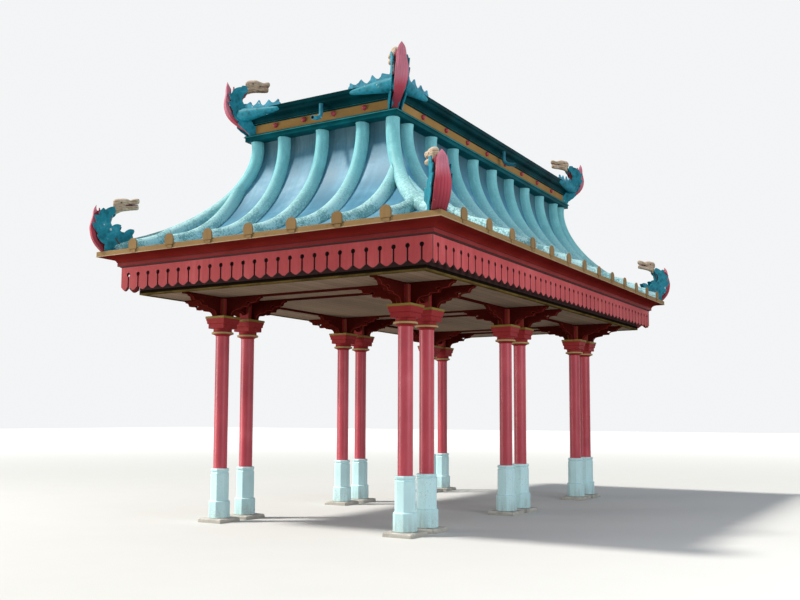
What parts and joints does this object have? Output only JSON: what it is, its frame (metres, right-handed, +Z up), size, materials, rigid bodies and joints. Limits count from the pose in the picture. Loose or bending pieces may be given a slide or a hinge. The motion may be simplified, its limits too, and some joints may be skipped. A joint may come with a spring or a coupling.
{
  "type": "chinese pavilion",
  "caption": "Open pavilion on paired round columns with a swept ribbed metal roof, cut valance, raised fascia and gutter, and dragons at the upper and lower roof corners",
  "frame": {"origin": "on the ground in the middle of the pavilion", "axes": "+Z up, Y along the long side, X along the short side; the front is the short side towards -Y"},
  "size_m": [5.3814, 9.0214, 6.022],
  "materials": {
    "concrete": "rough weathered concrete",
    "turquoise_paint": "satin paint, worn",
    "column_red": "semi-gloss paint",
    "capital_red": "painted wood",
    "bracket_red": "painted wood",
    "ceiling_boards": "weathered boards",
    "gold_paint": "gold paint",
    "charcoal_boards": "dark stain",
    "valance_red": "faded paint",
    "crown_red": "dark red paint",
    "tan_paint": "tan paint",
    "pan_blue": "faded sheet metal",
    "rib_turquoise": "faded sheet metal with patina",
    "dark_green_paint": "gloss paint",
    "brown_shingle": "asphalt shingles",
    "dragon_blue": "painted wood"
  },
  "bodies": {
    "root": {"back_left_brackets": "bracket_red", "back_left_columns": "column_red", "back_left_lower_dragon": "dragon_blue", "back_left_upper_dragon": "dragon_blue", "back_right_brackets": "bracket_red", "back_right_columns": "column_red", "back_right_lower_dragon": "dragon_blue", "back_right_upper_dragon": "dragon_blue", "back_roof_pan": "pan_blue", "back_roof_ribs": "rib_turquoise", "back_valance": "valance_red", "ceiling_beams": "bracket_red", "ceiling_boards": "ceiling_boards", "ceiling_trim": "gold_paint", "crown_moulding": "crown_red", "eave_frame": "tan_paint", "footing_pads": "concrete", "frieze": "tan_paint", "frieze_studs": "column_red", "front_left_brackets": "bracket_red", "front_left_columns": "column_red", "front_left_lower_dragon": "dragon_blue", "front_left_upper_dragon": "dragon_blue", "front_right_brackets": "bracket_red", "front_right_columns": "column_red", "front_right_lower_dragon": "dragon_blue", "front_right_upper_dragon": "dragon_blue", "front_roof_pan": "pan_blue", "front_roof_ribs": "rib_turquoise", "front_valance": "valance_red", "gutter": "dark_green_paint", "gutter_spouts": "rib_turquoise", "hip_rolls": "rib_turquoise", "left_capitals": "capital_red", "left_plinths": "turquoise_paint", "left_roof_pan": "pan_blue", "left_roof_ribs": "rib_turquoise", "left_valance": "valance_red", "lower_cornice": "dark_green_paint", "middle_left_brackets": "bracket_red", "middle_left_columns": "column_red", "middle_right_brackets": "bracket_red", "middle_right_columns": "column_red", "rib_end_caps": "tan_paint", "right_capitals": "capital_red", "right_plinths": "turquoise_paint", "right_roof_pan": "pan_blue", "right_roof_ribs": "rib_turquoise", "right_valance": "valance_red", "soffit_frame": "charcoal_boards", "top_roof": "brown_shingle"}
  },
  "joints": []
}
